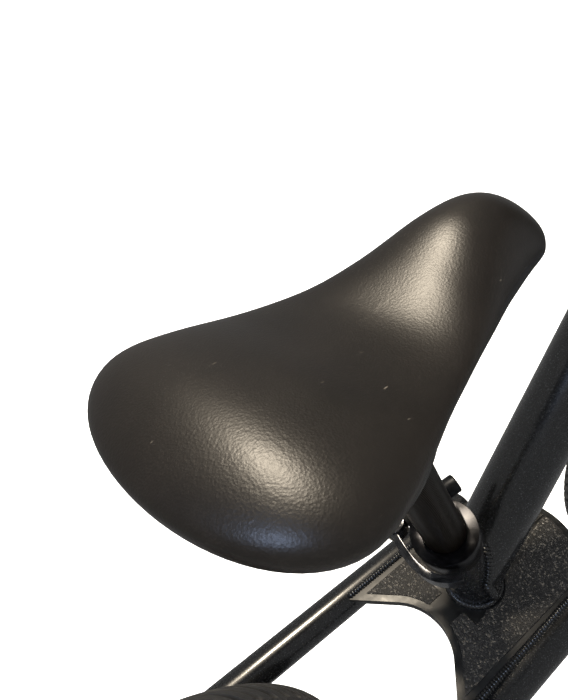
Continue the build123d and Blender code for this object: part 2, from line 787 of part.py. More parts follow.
crossbar_half = bar_flat_half + (bar_upper_half - bar_flat_half) * crossbar_rise / bar_rise
with BuildPart() as crossbar:
    with BuildSketch(Plane(origin=bar_centre + steer_up * crossbar_rise, z_dir=side)):
        Circle(crossbar_radius)
        Circle(crossbar_radius - crossbar_wall, mode=Mode.SUBTRACT)
    extrude(amount=crossbar_half, both=True)
    add(bar_core.part, mode=Mode.SUBTRACT)
export_piece(crossbar.part, "crossbar")

for hand, grip_name in ((1, "grip_left"), (-1, "grip_right")):
    bar_end = bar_path.line @ (1 if hand > 0 else 0)
    inward = (bar_path.line % 1) * -1 if hand > 0 else bar_path.line % 0
    end_plane = Plane(origin=bar_end, z_dir=inward)
    with BuildPart() as grip:
        with BuildSketch(end_plane.offset(-grip_end_wall)):
            Circle(grip_radius)
        extrude(amount=grip_length + grip_end_wall)
        with BuildSketch(end_plane.offset(grip_length - grip_flange_thickness)):
            Circle(grip_flange_radius)
        extrude(amount=grip_flange_thickness)
        with BuildSketch(end_plane):
            Circle(bar_radius)
        extrude(amount=grip_length, mode=Mode.SUBTRACT)
    export_piece(grip.part, grip_name)


# ---------------------------------------------------------------- wheels
rim_floor_radius = rim_seat_radius - rim_well_depth
rim_edge_radius = rim_seat_radius + rim_flange_height
tyre_centre_radius = wheel_radius - tyre_half_width
tyre_foot_half = rim_half_width - rim_wall - 0.3
foot_height = tyre_centre_radius - (tyre_half_width**2 - tyre_foot_half**2) ** 0.5 + tyre_wall - rim_seat_radius


def wheel_plane(axle_x):
    """Plane through a wheel's middle with its Z along the axle, towards the left."""
    return Plane(origin=(axle_x, 0, wheel_radius), x_dir=(1, 0, 0), z_dir=(0, 1, 0))


def make_tyre(axle_x):
    """Tyre: a round tread and side walls down to two beads that sit on the rim."""
    plane = Plane(origin=(axle_x, 0, wheel_radius), x_dir=(0, 1, 0), z_dir=(1, 0, 0))
    with BuildPart() as tyre:
        with BuildSketch(plane):
            with Locations((0, tyre_centre_radius)):
                Circle(tyre_half_width)
                Circle(tyre_half_width - tyre_wall, mode=Mode.SUBTRACT)
            with Locations((0, rim_seat_radius)):
                Rectangle(4 * tyre_half_width, 2 * rim_flange_height, mode=Mode.SUBTRACT)
            for hand in (-1, 1):
                with Locations((hand * (tyre_foot_half - tyre_wall / 2), rim_seat_radius)):
                    Rectangle(tyre_wall, foot_height, align=(Align.CENTER, Align.MIN))
        revolve(axis=Axis((axle_x, 0, wheel_radius), (0, 1, 0)), revolution_arc=360)
    return tyre.part


def make_inner_tube(axle_x):
    """Inner tube: a thin closed ring inside the tyre."""
    tube_radius = (wheel_radius - tyre_wall - rim_edge_radius) / 2 - inner_tube_gap
    centre_radius = wheel_radius - tyre_wall - inner_tube_gap - tube_radius
    plane = Plane(origin=(axle_x, 0, wheel_radius), x_dir=(0, 1, 0), z_dir=(1, 0, 0))
    with BuildPart() as inner_tube:
        with BuildSketch(plane):
            with Locations((0, centre_radius)):
                Circle(tube_radius)
                Circle(tube_radius - inner_tube_wall, mode=Mode.SUBTRACT)
        revolve(axis=Axis((axle_x, 0, wheel_radius), (0, 1, 0)), revolution_arc=360)
    return inner_tube.part


def make_rim(axle_x, nipples, valve):
    """Rim: a channel with a well in the middle, drilled for the nipples and the valve."""
    plane = Plane(origin=(axle_x, 0, wheel_radius), x_dir=(0, 1, 0), z_dir=(1, 0, 0))
    with BuildPart() as rim:
        with BuildSketch(plane):
            with BuildLine():
                Polyline(
                    (-rim_half_width, rim_edge_radius),
                    (-rim_half_width, rim_seat_radius - rim_wall),
                    (-rim_half_width * 0.5, rim_floor_radius - rim_wall),
                    (rim_half_width * 0.5, rim_floor_radius - rim_wall),
                    (rim_half_width, rim_seat_radius - rim_wall),
                    (rim_half_width, rim_edge_radius),
                    (rim_half_width - rim_wall, rim_edge_radius),
                    (rim_half_width - rim_wall, rim_seat_radius - 0.4),
                    (rim_half_width * 0.45, rim_floor_radius),
                    (-rim_half_width * 0.45, rim_floor_radius),
                    (-rim_half_width + rim_wall, rim_seat_radius - 0.4),
                    (-rim_half_width + rim_wall, rim_edge_radius),
                    close=True,
                )
            make_face()
        revolve(axis=Axis((axle_x, 0, wheel_radius), (0, 1, 0)), revolution_arc=360)
        add(nipples, mode=Mode.SUBTRACT)
        add(valve, mode=Mode.SUBTRACT)
    return rim.part


def spoke_ends(axle_x):
    """Hub end and rim end of every spoke. Neighbours on one side cross, one from each face of the flange."""
    ends = []
    step = 360 / spokes_per_side
    for hand in (-1, 1):
        for number in range(spokes_per_side):
            lean = 1 if number % 2 else -1
            rim_angle = radians(step * number + (step / 2 if hand > 0 else 0))
            hub_angle = rim_angle - lean * radians(step)
            hub_y = hand * hub_flange_half_spacing + lean * (hub_flange_thickness / 2 + spoke_radius)
            rim_radius = rim_floor_radius - rim_wall
            ends.append(
                (
                    Vector(axle_x + spoke_circle_radius * cos(hub_angle), hub_y,
                           wheel_radius + spoke_circle_radius * sin(hub_angle)),
                    Vector(axle_x + rim_radius * cos(rim_angle), hand * rim_half_width * 0.2,
                           wheel_radius + rim_radius * sin(rim_angle)),
                )
            )
    return ends


def make_nipples(axle_x):
    """Nipples: one on the rim's end of each spoke, its head through the rim's floor."""
    with BuildPart() as nipples:
        for hub_end, rim_end in spoke_ends(axle_x):
            run = (rim_end - hub_end).normalized()
            with BuildSketch(Plane(origin=rim_end + run * (rim_wall + 1.2), z_dir=run)):
                Circle(nipple_radius)
            extrude(amount=-nipple_length)
    return nipples.part


def make_spokes(axle_x):
    """Spokes: straight wires from the hub's flanges to the nipples."""
    with BuildPart() as spokes:
        for hub_end, rim_end in spoke_ends(axle_x):
            run = (rim_end - hub_end).normalized()
            length = (rim_end - hub_end).length - nipple_length + rim_wall + 1.2
            with BuildSketch(Plane(origin=hub_end, z_dir=run)):
                Circle(spoke_radius)
            extrude(amount=length)
    return spokes.part


def make_valve(axle_x):
    """Valve: a stem through the rim, pointing at the hub, midway between two spokes."""
    angle = radians(90 + 90 / spokes_per_side)
    inward = Vector(-cos(angle), 0, -sin(angle))
    outer = Vector(axle_x, 0, wheel_radius) - inward * (tyre_centre_radius - tyre_half_width + tyre_wall + 0.5)
    with BuildPart() as valve:
        with BuildSketch(Plane(origin=outer, z_dir=inward)):
            Circle(valve_radius)
        extrude(amount=valve_length)
    return valve.part


def make_hub(axle_x, spacing, spokes):
    """Hub shell: a barrel with two flanges, bored for a bearing in each end."""
    half_length = spacing / 2 - hub_overhang
    with BuildPart() as hub:
        with BuildSketch(wheel_plane(axle_x)):
            Circle(hub_barrel_radius)
        extrude(amount=half_length, both=True)
        for hand in (-1, 1):
            with BuildSketch(wheel_plane(axle_x).offset(hand * hub_flange_half_spacing)):
                Circle(hub_flange_radius)
            extrude(amount=hub_flange_thickness / 2, both=True)
        with BuildSketch(wheel_plane(axle_x)):
            Circle(axle_radius + 2.0)
        extrude(amount=half_length, both=True, mode=Mode.SUBTRACT)
        for hand in (-1, 1):
            with BuildSketch(wheel_plane(axle_x).offset(hand * half_length)):
                Circle(wheel_bearing_radius)
            extrude(amount=-hand * wheel_bearing_width, mode=Mode.SUBTRACT)
        add(spokes, mode=Mode.SUBTRACT)
    return hub.part


def make_wheel_bearings(axle_x, spacing):
    """Two sealed bearings, one flush with each end of the hub shell."""
    with BuildPart() as bearings:
        for hand in (-1, 1):
            with BuildSketch(wheel_plane(axle_x).offset(hand * (spacing / 2 - hub_overhang))):
                Circle(wheel_bearing_radius)
                Circle(axle_radius + turning_fit, mode=Mode.SUBTRACT)
            extrude(amount=-hand * wheel_bearing_width)
    return bearings.part


def make_axle(axle_x, nut_seat):
    """Axle: a plain rod that reaches a little past its nuts."""
    with BuildPart() as axle:
        with BuildSketch(wheel_plane(axle_x)):
            Circle(axle_radius)
        extrude(amount=nut_seat + axle_nut_height, both=True)
        with BuildSketch(wheel_plane(axle_x)):
            Circle(axle_stub_radius)
        extrude(amount=nut_seat + axle_nut_height + axle_stub, both=True)
        stub_ends = axle.edges().filter_by(GeomType.CIRCLE).sort_by(Axis.Y)
        chamfer([stub_ends[0], stub_ends[-1]], length=axle_chamfer)
    return axle.part


def make_axle_nuts(axle_x, nut_seat):
    """Two flanged hexagon nuts on the axle, outside the dropouts."""
    with BuildPart() as nuts:
        for hand in (-1, 1):
            with BuildSketch(wheel_plane(axle_x).offset(hand * nut_seat)):
                RegularPolygon(axle_nut_across_flats / 2, 6, major_radius=False)
            extrude(amount=hand * axle_nut_height)
            with BuildSketch(wheel_plane(axle_x).offset(hand * nut_seat)):
                Circle(axle_nut_across_flats * 0.66)
            extrude(amount=hand * 2.0)
            with BuildSketch(wheel_plane(axle_x).offset(hand * nut_seat)):
                Circle(axle_radius)
            extrude(amount=hand * axle_nut_height, mode=Mode.SUBTRACT)
    return nuts.part


def make_axle_spacers(axle_x, spacing):
    """Two spacers on the axle, between the dropouts and the hub's bearings."""
    with BuildPart() as spacers:
        for hand in (-1, 1):
            with BuildSketch(wheel_plane(axle_x).offset(hand * spacing / 2)):
                Circle(axle_spacer_radius)
                Circle(axle_radius, mode=Mode.SUBTRACT)
            extrude(amount=-hand * (hub_overhang - axial_gap))
    return spacers.part


wheel_layout = (
    ("front", front_axle_x, front_spacing, fork_dropout_thickness),
    ("rear", rear_axle_x, rear_spacing, dropout_thickness),
)
for end, axle_x, spacing, thickness in wheel_layout:
    nipples = make_nipples(axle_x)
    spokes = make_spokes(axle_x)
    valve = make_valve(axle_x)
    nut_seat = spacing / 2 + thickness
    export_piece(make_tyre(axle_x), f"{end}_tyre")
    export_piece(make_inner_tube(axle_x), f"{end}_inner_tube")
    export_piece(make_rim(axle_x, nipples, valve), f"{end}_rim")
    export_piece(make_hub(axle_x, spacing, spokes), f"{end}_hub")
    export_piece(make_wheel_bearings(axle_x, spacing), f"{end}_wheel_bearings")
    export_piece(spokes, f"{end}_spokes")
    export_piece(nipples, f"{end}_nipples")
    export_piece(valve, f"{end}_valve")
    export_piece(make_axle(axle_x, nut_seat), f"{end}_axle")
    export_piece(make_axle_nuts(axle_x, nut_seat), f"{end}_axle_nuts")
    export_piece(make_axle_spacers(axle_x, spacing), f"{end}_axle_spacers")

# ---------------------------------------------------------------- seat post and saddle
post_top = seat_foot + seat_up * saddle_height
saddle_up = Vector(-sin(radians(saddle_tilt)), 0, cos(radians(saddle_tilt)))
saddle_level = Vector(cos(radians(saddle_tilt)), 0, sin(radians(saddle_tilt)))
saddle_forward = saddle_level * cos(radians(saddle_turn)) + side * sin(radians(saddle_turn))
saddle_left = saddle_up.cross(saddle_forward)
saddle_plane = Plane(origin=post_top, x_dir=saddle_forward, z_dir=saddle_up)
head_plane = saddle_plane.offset(-post_head_thickness)
post_bottom = seat_tube_above - post_insertion
screw_places = GridLocations(saddle_screw_spacing_x, saddle_screw_spacing_y, 2, 2)

with BuildPart() as saddle_screws:
    with BuildSketch(head_plane):
        with screw_places:
            Circle(screw_head_radius)
    extrude(amount=-screw_head_height)
    with BuildSketch(head_plane):
        with screw_places:
            Circle(screw_radius)
    extrude(amount=post_head_thickness + base_thickness)
export_piece(saddle_screws.part, "saddle_screws")

with BuildPart() as seat_post:
    with BuildSketch(seat_plane(post_bottom)):
        Circle(post_radius)
    extrude(amount=saddle_height - post_bottom + post_radius)
    with BuildSketch(head_plane):
        SlotOverall(post_head_length, post_head_width)
    extrude(amount=post_head_thickness)
    split(bisect_by=saddle_plane, keep=Keep.BOTTOM)
    with BuildSketch(seat_plane(post_bottom)):
        Circle(post_radius - post_wall)
    extrude(amount=saddle_height - post_bottom - 2 * post_head_thickness, mode=Mode.SUBTRACT)
    add(saddle_screws.part, mode=Mode.SUBTRACT)
export_piece(seat_post.part, "seat_post")

saddle_rear = -saddle_setback
saddle_nose = saddle_length - saddle_setback


def saddle_plan(margin):
    """Plan of the saddle, inset by a margin: a broad round rear that narrows through a waist to a round nose."""
    with BuildSketch(saddle_plane) as plan:
        with BuildLine():
            rear_arc = TangentArc(
                (saddle_rear + margin, 0),
                (saddle_rear + widest_setback, saddle_half_width - margin),
                tangent=(0, 1),
            )
            flank = Spline(
                rear_arc @ 1,
                (saddle_rear + waist_setback, waist_half_width - margin),
                (saddle_nose - nose_half_width, nose_half_width - margin),
                tangents=(rear_arc % 1, (1, 0)),
            )
            nose_arc = TangentArc(flank @ 1, (saddle_nose - margin, 0), tangent=(1, 0))
            mirror([rear_arc, flank, nose_arc], about=Plane.XZ)
        make_face()
    return plan.sketch


with BuildPart() as saddle_base:
    add(saddle_plan(base_margin))
    extrude(amount=base_thickness)
    add(saddle_screws.part, mode=Mode.SUBTRACT)
export_piece(saddle_base.part, "saddle_base")

# The pad is its plan, cut to the side view: a raised rear, a dip over the post and a high nose.
with BuildPart() as saddle_pad:
    profile_origin = post_top + saddle_left * 2 * saddle_half_width
    with BuildSketch(Plane(origin=profile_origin, x_dir=saddle_forward, z_dir=-saddle_left)):
        with BuildLine():
            crown_line = Spline(*[(saddle_rear + share * saddle_length, rise) for share, rise in pad_crown])
            crown_front, crown_back = crown_line @ 1, crown_line @ 0
            Polyline(crown_front, (crown_front.X, 0), (crown_back.X, 0), crown_back)
        make_face()
    extrude(amount=4 * saddle_half_width)
    with BuildPart(mode=Mode.INTERSECT):
        add(saddle_plan(0))
        extrude(amount=2 * saddle_half_width)
    crown_face = saddle_pad.faces().filter_by(GeomType.EXTRUSION).sort_by(SortBy.AREA)[-1]
    fillet(crown_face.edges(), radius=pad_rounding)
    add(saddle_base.part, mode=Mode.SUBTRACT)
    add(saddle_screws.part, mode=Mode.SUBTRACT)
export_piece(saddle_pad.part, "saddle_pad")
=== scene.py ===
import json
from math import atan2, cos, hypot, pi, radians, sin, sqrt

import bpy
from mathutils import Matrix, Vector

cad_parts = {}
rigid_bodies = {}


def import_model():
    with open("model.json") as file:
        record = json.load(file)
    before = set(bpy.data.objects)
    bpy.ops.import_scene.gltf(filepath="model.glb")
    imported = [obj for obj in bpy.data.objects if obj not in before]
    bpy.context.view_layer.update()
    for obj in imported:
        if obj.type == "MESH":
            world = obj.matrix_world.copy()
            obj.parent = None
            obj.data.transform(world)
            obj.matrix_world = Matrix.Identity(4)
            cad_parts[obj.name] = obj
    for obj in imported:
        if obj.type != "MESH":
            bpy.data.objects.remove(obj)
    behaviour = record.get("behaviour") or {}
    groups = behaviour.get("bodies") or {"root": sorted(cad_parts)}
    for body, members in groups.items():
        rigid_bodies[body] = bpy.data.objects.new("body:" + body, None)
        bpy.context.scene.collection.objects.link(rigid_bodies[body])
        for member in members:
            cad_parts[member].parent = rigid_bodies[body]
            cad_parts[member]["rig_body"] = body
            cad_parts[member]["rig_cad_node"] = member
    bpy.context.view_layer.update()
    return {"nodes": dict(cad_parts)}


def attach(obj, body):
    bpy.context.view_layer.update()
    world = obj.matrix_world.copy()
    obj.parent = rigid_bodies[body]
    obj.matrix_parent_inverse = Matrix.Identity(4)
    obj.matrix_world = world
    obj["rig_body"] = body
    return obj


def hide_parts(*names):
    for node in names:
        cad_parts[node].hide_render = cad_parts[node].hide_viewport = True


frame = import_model()
MM = 0.001

# ---------------------------------------------------------------- camera
# Held by hand a little behind and above the saddle's right side.
# It looks forwards and down at the seat clamp, and is rolled to the left.
EYE = (-0.1761, -0.1383, 0.5548)
HEADING, DROP, ROLL = radians(62.52), radians(35.21), radians(-13.91)
lens = bpy.data.cameras.new("camera")
lens.lens = 28.34
lens.sensor_width = 36.0
lens.clip_start = 0.01
camera = bpy.data.objects.new("camera", lens)
bpy.context.scene.collection.objects.link(camera)
camera.matrix_world = (
    Matrix.Translation(EYE)
    @ Matrix.Rotation(HEADING - pi / 2, 4, "Z")
    @ Matrix.Rotation(pi / 2 - DROP, 4, "X")
    @ Matrix.Rotation(ROLL, 4, "Z")
)
bpy.context.scene.camera = camera


# ---------------------------------------------------------------- floor and light
# A plain matt white floor with a tall white wall round its far edge, lit evenly so that it stays pale.
# Two soft boxes stand over the bike, a warm lamp ahead of the saddle and a cool window behind it.
def colour(code):
    """Linear RGBA of an sRGB hex colour."""
    parts = [int(code[i:i + 2], 16) / 255 for i in (1, 3, 5)]
    return [p / 12.92 if p <= 0.04045 else ((p + 0.055) / 1.055) ** 2.4 for p in parts] + [1.0]


def add_node(finish, kind, sockets=None, **settings):
    """Add a node to a finish. Sockets gives its inputs, each a value or the output that feeds it."""
    node = finish.node_tree.nodes.new("ShaderNode" + kind)
    for name, value in settings.items():
        setattr(node, name, value)
    for name, value in (sockets or {}).items():
        if isinstance(value, bpy.types.NodeSocket):
            finish.node_tree.links.new(value, node.inputs[name])
        else:
            node.inputs[name].default_value = value
    return node


def new_finish(name, **sockets):
    """A material with one shader, whose constants are set on its own sockets."""
    finish = bpy.data.materials.new(name)
    finish.use_nodes = True
    shader = finish.node_tree.nodes["Principled BSDF"]
    for socket, value in sockets.items():
        shader.inputs[socket.replace("_", " ")].default_value = value
    return finish, shader


def feed(finish, source, target):
    """Join an output to an input."""
    finish.node_tree.links.new(source, target)


def ramp_between(finish, source, stops):
    """A colour ramp fed by a value, with (place, colour) stops."""
    ramp = add_node(finish, "ValToRGB", {"Fac": source})
    while len(ramp.color_ramp.elements) < len(stops):
        ramp.color_ramp.elements.new(0.5)
    for element, (place, tint) in zip(ramp.color_ramp.elements, stops):
        element.position = place
        element.color = tint
    return ramp.outputs["Color"]


floor_paint, shader = new_finish("matt_white_floor", Roughness=0.9, IOR=1.45, Emission_Strength=0.82)
shader.inputs["Emission Color"].default_value = colour("#ffffff")
place = add_node(floor_paint, "TexCoord").outputs["Object"]
cloud = add_node(floor_paint, "TexNoise", {"Vector": place, "Scale": 1.5, "Detail": 3.0})
whites = [(0.3, colour("#f6f6f5")), (0.7, colour("#fbfbfa"))]
feed(floor_paint, ramp_between(floor_paint, cloud.outputs["Fac"], whites), shader.inputs["Base Color"])
FLOOR_SIDE, WALL_HEIGHT = 24.0, 16.0
bpy.ops.object.select_all(action="DESELECT")
bpy.ops.mesh.primitive_plane_add(size=FLOOR_SIDE)
floor = bpy.context.object
floor.name = "floor"
bpy.ops.object.mode_set(mode="EDIT")
bpy.ops.mesh.select_all(action="SELECT")
bpy.ops.mesh.extrude_region_move(TRANSFORM_OT_translate={"value": (0.0, 0.0, WALL_HEIGHT)})
bpy.ops.mesh.delete(type="ONLY_FACE")
bpy.ops.object.mode_set(mode="OBJECT")
floor.visible_glossy = False
floor.data.materials.append(floor_paint)

room = bpy.data.worlds.new("white_room")
bpy.context.scene.world = room
room.use_nodes = True
room.node_tree.nodes["Background"].inputs["Color"].default_value = colour("#ffffff")
room.node_tree.nodes["Background"].inputs["Strength"].default_value = 0.24
bpy.context.scene.view_settings.view_transform = "Standard"


def soft_box(name, stand, aim, size, power, tint):
    """A square area light that faces a point."""
    lamp = bpy.data.lights.new(name, "AREA")
    lamp.size = size
    lamp.energy = power
    lamp.color = colour(tint)[:3]
    light = bpy.data.objects.new(name, lamp)
    bpy.context.scene.collection.objects.link(light)
    facing = (Vector(aim) - Vector(stand)).to_track_quat("-Z", "Y")
    light.matrix_world = Matrix.Translation(stand) @ facing.to_matrix().to_4x4()


SADDLE_SPOT = (-0.08, 0.0, 0.44)
soft_box("lamp_box", (0.08, 0.48, 1.72), SADDLE_SPOT, 0.3, 27.0, "#fff0d8")
soft_box("window_box", (-0.94, -0.34, 1.75), SADDLE_SPOT, 0.35, 9.0, "#c4d9ff")

# ---------------------------------------------------------------- saddle pad
# Moulded foam under one seamless skin of black leatherette, drawn tight and tucked under its base plate.
# The skin is satin, with a fine pebble grain, short stretch wrinkles and a few pale scuffs from use.
SEAT_FOOT = Vector((-5.0, 0.0, 185.0)) * MM
SEAT_ANGLE = radians(72.5)
SEAT_UP = Vector((-cos(SEAT_ANGLE), 0.0, sin(SEAT_ANGLE)))
SEAT_FORWARD = Vector((sin(SEAT_ANGLE), 0.0, cos(SEAT_ANGLE)))
POST_TOP = SEAT_FOOT + SEAT_UP * 246.5 * MM
SADDLE_TILT, SADDLE_TURN = radians(-2.2), radians(6.7)
SADDLE_REAR, SADDLE_LENGTH = -94.0 * MM, 219.0 * MM
PAD_UNDERSIDE = 4.2 * MM
WIDEST_REAR, WIDEST_NOSE = 15.5 * MM, 7.1 * MM  # height of the widest line at each end
SIDE_FULLNESS = 2.1  # 2 is a plain ellipse across the pad, more is squarer
TUCK = 0.10  # share of the half width that the skin turns in underneath
TUCK_TURN = radians(50.0)
# Half width and crown height in millimetres, at even steps from the rear to the nose. The plan is a disc
# whose width is scaled along the saddle, so the first and last half widths shape its round ends.
HALF_WIDTHS = (119.9, 97.2, 72.6, 55.0, 44.6, 38.0, 34.0, 36.0, 50.8)
CROWNS = (33.3, 35.1, 27.8, 19.5, 18.1, 28.3, 42.3, 49.0, 37.3)

level = Vector((cos(SADDLE_TILT), 0.0, sin(SADDLE_TILT)))
saddle_up = Vector((-sin(SADDLE_TILT), 0.0, cos(SADDLE_TILT)))
saddle_forward = level * cos(SADDLE_TURN) + Vector((0.0, 1.0, 0.0)) * sin(SADDLE_TURN)
saddle_left = saddle_up.cross(saddle_forward)


def at_station(table, x):
    """Smooth value of an evenly stepped table, for x from -1 to 1."""
    steps = len(table) - 1
    t = (x + 1) / 2 * steps
    i = min(max(int(t), 0), steps - 1)
    t -= i
    a, b = table[i], table[i + 1]
    before = table[i - 1] if i else 2 * a - b
    after = table[i + 2] if i + 2 <= steps else 2 * b - a
    slope_a, slope_b = (b - before) / 2, (after - a) / 2
    return ((1 + 2 * t) * (1 - t) ** 2 * a + t * (1 - t) ** 2 * slope_a
            + t * t * (3 - 2 * t) * b + t * t * (t - 1) * slope_b)


def pad_point(ball):
    """Where a point of a unit ball lies on the pad's skin, in the row frame."""
    turn = atan2(ball.y, ball.x)
    rise = atan2(ball.z, hypot(ball.x, ball.y))
    if rise >= 0:
        out = cos(rise) ** (2 / SIDE_FULLNESS)
        crown_share = sin(rise) ** (2 / SIDE_FULLNESS)
    elif -rise < TUCK_TURN:
        swing = -rise / TUCK_TURN * pi / 2
        out = 1 - TUCK * (1 - cos(swing))
        crown_share = -sin(swing)
    else:
        out = (1 - TUCK) * (pi / 2 + rise) / (pi / 2 - TUCK_TURN)
        crown_share = -1.0
    x, y = out * cos(turn), out * sin(turn)
    widest = WIDEST_REAR + (WIDEST_NOSE - WIDEST_REAR) * (x + 1) / 2
    if crown_share >= 0:
        height = widest + (at_station(CROWNS, x) * MM - widest) * crown_share
    else:
        height = widest + (widest - PAD_UNDERSIDE) * crown_share
    along = SADDLE_REAR + SADDLE_LENGTH / 2 * (1 + x)
    across = at_station(HALF_WIDTHS, x) * MM * y
    return POST_TOP + saddle_forward * along + saddle_left * across + saddle_up * height


bpy.ops.object.select_all(action="DESELECT")
bpy.ops.mesh.primitive_uv_sphere_add(segments=144, ring_count=96, radius=1.0)
pad = bpy.context.object
pad.name = "saddle_cover"
for vertex in pad.data.vertices:
    vertex.co = pad_point(vertex.co)
bpy.ops.object.mode_set(mode="EDIT")
bpy.ops.mesh.select_all(action="SELECT")
bpy.ops.mesh.remove_doubles(threshold=1e-6)
bpy.ops.mesh.normals_make_consistent(inside=False)
bpy.ops.object.mode_set(mode="OBJECT")
bpy.ops.object.shade_smooth()

GRAIN = 0.9 * MM  # a little over the real 0.6 mm pebble, which is too fine to show
WRINKLE = 2.0 * MM
leatherette, shader = new_finish("black_leatherette", IOR=1.5, Specular_IOR_Level=0.4)
place = add_node(leatherette, "TexCoord").outputs["Object"]
pebble = add_node(leatherette, "TexVoronoi", {"Vector": place, "Scale": 1 / GRAIN, "Randomness": 1.0})
crease = add_node(leatherette, "TexNoise", {"Vector": place, "Scale": 1 / WRINKLE, "Detail": 6.0,
                                            "Roughness": 0.62, "Distortion": 0.9})
patch = add_node(leatherette, "TexNoise", {"Vector": place, "Scale": 18.0, "Detail": 4.0})
grain_bump = add_node(leatherette, "Bump", {"Height": pebble.outputs["Distance"], "Strength": 0.35,
                                            "Distance": 0.1 * MM})
skin_bump = add_node(leatherette, "Bump", {"Height": crease.outputs["Fac"], "Strength": 0.5,
                                           "Distance": 0.13 * MM, "Normal": grain_bump.outputs["Normal"]})
feed(leatherette, skin_bump.outputs["Normal"], shader.inputs["Normal"])
tone = ramp_between(leatherette, patch.outputs["Fac"], [(0.3, colour("#100d0a")), (0.7, colour("#16120e"))])
stretched = add_node(leatherette, "Mapping", {"Vector": place, "Rotation": (0.3, 0.5, 0.9),
                                              "Scale": (70.0, 420.0, 420.0)})
scratch = add_node(leatherette, "TexNoise", {"Vector": stretched.outputs["Vector"], "Scale": 1.0,
                                             "Detail": 1.0})
scuff = ramp_between(leatherette, scratch.outputs["Fac"],
                     [(0.80, colour("#000000")), (0.83, colour("#ffffff"))])
scuffed = add_node(leatherette, "Mix", data_type="RGBA")
feed(leatherette, scuff, scuffed.inputs["Factor"])
feed(leatherette, tone, scuffed.inputs[6])
scuffed.inputs[7].default_value = colour("#5d574d")
feed(leatherette, scuffed.outputs[2], shader.inputs["Base Color"])
worn = add_node(leatherette, "MapRange", {"Value": patch.outputs["Fac"], "From Min": 0.3, "From Max": 0.7,
                                          "To Min": 0.31, "To Max": 0.39})
feed(leatherette, worn.outputs["Result"], shader.inputs["Roughness"])
pad.data.materials.clear()
pad.data.materials.append(leatherette)


def stand_for(piece, *nodes):
    """The piece takes the place of CAD nodes: it hides them and rides with the first one's body."""
    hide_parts(*nodes)
    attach(piece, frame["nodes"][nodes[0]]["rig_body"])


stand_for(pad, "saddle_pad")


# ---------------------------------------------------------------- saddle base and screws
# The base is a black polypropylene moulding stapled into the foam. Four screws hold it to the post's head.
# Moulded plastic is matt with a faint texture, and the screws are blackened steel.
def paint_node(finish, *nodes):
    """Give CAD nodes their finish."""
    for node in nodes:
        frame["nodes"][node].data.materials.clear()
        frame["nodes"][node].data.materials.append(finish)


def dapple(finish, shader, size, tones, gloss, depth):
    """Small changes of tone, gloss and height over a surface, at a size in metres."""
    place = add_node(finish, "TexCoord").outputs["Object"]
    cloud = add_node(finish, "TexNoise", {"Vector": place, "Scale": 1 / size, "Detail": 5.0})
    tone = ramp_between(finish, cloud.outputs["Fac"], [(0.35, colour(tones[0])), (0.65, colour(tones[1]))])
    feed(finish, tone, shader.inputs["Base Color"])
    sheen = add_node(finish, "MapRange", {"Value": cloud.outputs["Fac"], "From Min": 0.3, "From Max": 0.7,
                                          "To Min": gloss[0], "To Max": gloss[1]})
    feed(finish, sheen.outputs["Result"], shader.inputs["Roughness"])
    relief = add_node(finish, "Bump", {"Height": cloud.outputs["Fac"], "Strength": 0.5, "Distance": depth})
    feed(finish, relief.outputs["Normal"], shader.inputs["Normal"])


moulded_plastic, shader = new_finish("moulded_polypropylene", IOR=1.49)
dapple(moulded_plastic, shader, 0.9 * MM, ("#161616", "#1c1c1b"), (0.5, 0.62), 0.08 * MM)
blackened_steel, shader = new_finish("blackened_steel", Metallic=0.85)
dapple(blackened_steel, shader, 2.5 * MM, ("#1d1d1f", "#303033"), (0.32, 0.45), 0.02 * MM)
paint_node(moulded_plastic, "saddle_base", "cam_washer")
paint_node(blackened_steel, "saddle_screws")


# ---------------------------------------------------------------- seat post
# A black anodised aluminium tube, turned to size: fine rings from the tool still show all the way down it.
# The anodising is black. Its colour is painted brown-black as a painted warm reflection, and painted lighter
# along the thin rings as painted glints where they catch the light.
def round_axis(finish, origin, direction):
    """Height along an axis, and angle round it, of each point, as two outputs."""
    forward = Vector(direction).orthogonal().normalized()
    left = Vector(direction).cross(forward)
    place = add_node(finish, "TexCoord").outputs["Object"]
    outward = add_node(finish, "VectorMath", {0: place, 1: Vector(origin)}, operation="SUBTRACT")
    parts = [add_node(finish, "VectorMath", {0: outward.outputs["Vector"], 1: way}, operation="DOT_PRODUCT")
             for way in (Vector(direction), forward, left)]
    along, ahead, aside = (part.outputs["Value"] for part in parts)
    angle = add_node(finish, "Math", {0: aside, 1: ahead}, operation="ARCTAN2")
    return along, angle.outputs["Value"]


RING_PITCH = 1.3 * MM  # the real 0.3 mm rings are too fine to show, so these are coarser
turned_aluminium, shader = new_finish("turned_black_anodised_aluminium", Metallic=0.75)
height, angle = round_axis(turned_aluminium, SEAT_FOOT, SEAT_UP)
phase = add_node(turned_aluminium, "Math", {0: height, 1: 2 * pi / RING_PITCH}, operation="MULTIPLY")
turns = []
for starts in (-6.0, 6.0):
    lead = add_node(turned_aluminium, "Math", {0: angle, 1: starts, 2: phase.outputs["Value"]},
                    operation="MULTIPLY_ADD")
    wave = add_node(turned_aluminium, "Math", {0: lead.outputs["Value"]}, operation="SINE")
    turns.append(wave.outputs["Value"])
hatch = add_node(turned_aluminium, "Math", {0: turns[0], 1: turns[1]}, operation="ADD")
relief = add_node(turned_aluminium, "Bump", {"Height": hatch.outputs["Value"], "Strength": 0.6,
                                             "Distance": 0.05 * MM})
feed(turned_aluminium, relief.outputs["Normal"], shader.inputs["Normal"])
